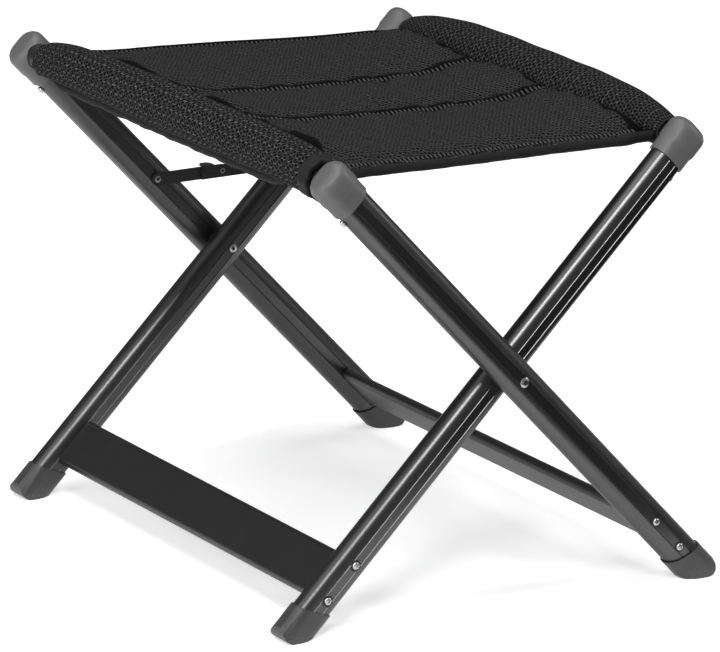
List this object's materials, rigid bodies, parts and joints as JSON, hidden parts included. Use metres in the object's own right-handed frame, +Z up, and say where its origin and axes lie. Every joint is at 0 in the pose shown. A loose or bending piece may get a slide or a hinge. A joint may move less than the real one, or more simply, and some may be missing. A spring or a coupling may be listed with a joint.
{
  "type": "folding camp stool",
  "caption": "Folding camp stool with two crossed oval-tube frames, a padded mesh seat panel between bolstered rails, plastic feet and a folding lock brace.",
  "frame": {"origin": "centre of the footprint, on the floor", "axes": "+X from the outer frame's rail to the inner frame's rail, +Y along the rails and the fold axis towards the side with the lock brace, +Z up"},
  "size_m": [0.4084, 0.479, 0.4063],
  "materials": {
    "anodised_aluminium": "dark grey satin anodised extrusion with two fine grooves along each flat face",
    "connector_plastic": "mid grey moulded nylon, satin",
    "boot_plastic": "dark grey moulded plastic, soft satin",
    "plug_plastic": "dark moulded plastic",
    "zinc_steel": "bright zinc plated steel",
    "black_steel": "black satin coated steel strip",
    "spacer_mesh_fabric": "black padded polyester spacer mesh with a smooth binding"
  },
  "bodies": {
    "outer_frame": {"brace_rivet_outer": "zinc_steel", "outer_bolster": "spacer_mesh_fabric", "outer_boot_far": "boot_plastic", "outer_boot_near": "boot_plastic", "outer_connector_far": "connector_plastic", "outer_connector_near": "connector_plastic", "outer_connector_screw_far": "zinc_steel", "outer_connector_screw_near": "zinc_steel", "outer_crossbar": "anodised_aluminium", "outer_crossbar_plug_far": "plug_plastic", "outer_crossbar_plug_near": "plug_plastic", "outer_crossbar_screw_far_lower": "zinc_steel", "outer_crossbar_screw_far_upper": "zinc_steel", "outer_crossbar_screw_near_lower": "zinc_steel", "outer_crossbar_screw_near_upper": "zinc_steel", "outer_leg_far": "anodised_aluminium", "outer_leg_near": "anodised_aluminium", "outer_rail": "anodised_aluminium", "pivot_rivet_far": "zinc_steel", "pivot_rivet_near": "zinc_steel", "pivot_spacer_far": "plug_plastic", "pivot_spacer_near": "plug_plastic"},
    "inner_frame": {"brace_rivet_inner": "zinc_steel", "inner_bolster": "spacer_mesh_fabric", "inner_boot_far": "boot_plastic", "inner_boot_near": "boot_plastic", "inner_connector_far": "connector_plastic", "inner_connector_near": "connector_plastic", "inner_connector_screw_far": "zinc_steel", "inner_connector_screw_near": "zinc_steel", "inner_crossbar": "anodised_aluminium", "inner_crossbar_plug_far": "plug_plastic", "inner_crossbar_plug_near": "plug_plastic", "inner_crossbar_screw_far_lower": "zinc_steel", "inner_crossbar_screw_far_upper": "zinc_steel", "inner_crossbar_screw_near_lower": "zinc_steel", "inner_crossbar_screw_near_upper": "zinc_steel", "inner_leg_far": "anodised_aluminium", "inner_leg_near": "anodised_aluminium", "inner_rail": "anodised_aluminium"},
    "brace_outer": {"brace_link_outer": "black_steel"},
    "brace_inner": {"brace_link_inner": "black_steel", "brace_rivet_middle": "zinc_steel"},
    "seat_outer": {"seat_panel_outer": "spacer_mesh_fabric"},
    "seat_inner": {"seat_panel_inner": "spacer_mesh_fabric"}
  },
  "joints": [
    {"name": "fold", "type": "hinge", "parent": "outer_frame", "child": "inner_frame", "pos_m": [0, 0, 0.195], "axis": [0, -1, 0], "range_deg": [0, 76]},
    {"name": "brace_outer_hinge", "type": "hinge", "parent": "outer_frame", "child": "brace_outer", "pos_m": [-0.06258, 0, 0.25758], "axis": [0, -1, 0], "range_deg": [0, 110.4]},
    {"name": "brace_middle_hinge", "type": "hinge", "parent": "brace_outer", "child": "brace_inner", "pos_m": [0.0015, 0, 0.25758], "axis": [0, 1, 0], "range_deg": [0, 160.5]},
    {"name": "seat_outer_hinge", "type": "hinge", "parent": "outer_frame", "child": "seat_outer", "pos_m": [-0.18279, 0, 0.37779], "axis": [0, 1, 0], "range_deg": [0, 54.6], "deforming": ["seat_panel_outer"]},
    {"name": "seat_middle_hinge", "type": "hinge", "parent": "seat_outer", "child": "seat_inner", "pos_m": [-0.00566, 0, 0.37213], "axis": [0, -1, 0], "range_deg": [0, 159.6], "deforming": ["seat_panel_inner"]}
  ],
  "couplings": [
    {"joint": "seat_outer_hinge", "follows": "fold", "ratio": 0.7171},
    {"joint": "seat_middle_hinge", "follows": "fold", "ratio": 2.0986},
    {"joint": "brace_outer_hinge", "follows": "fold", "ratio": 1.4512},
    {"joint": "brace_middle_hinge", "follows": "fold", "ratio": 2.1097}
  ]
}
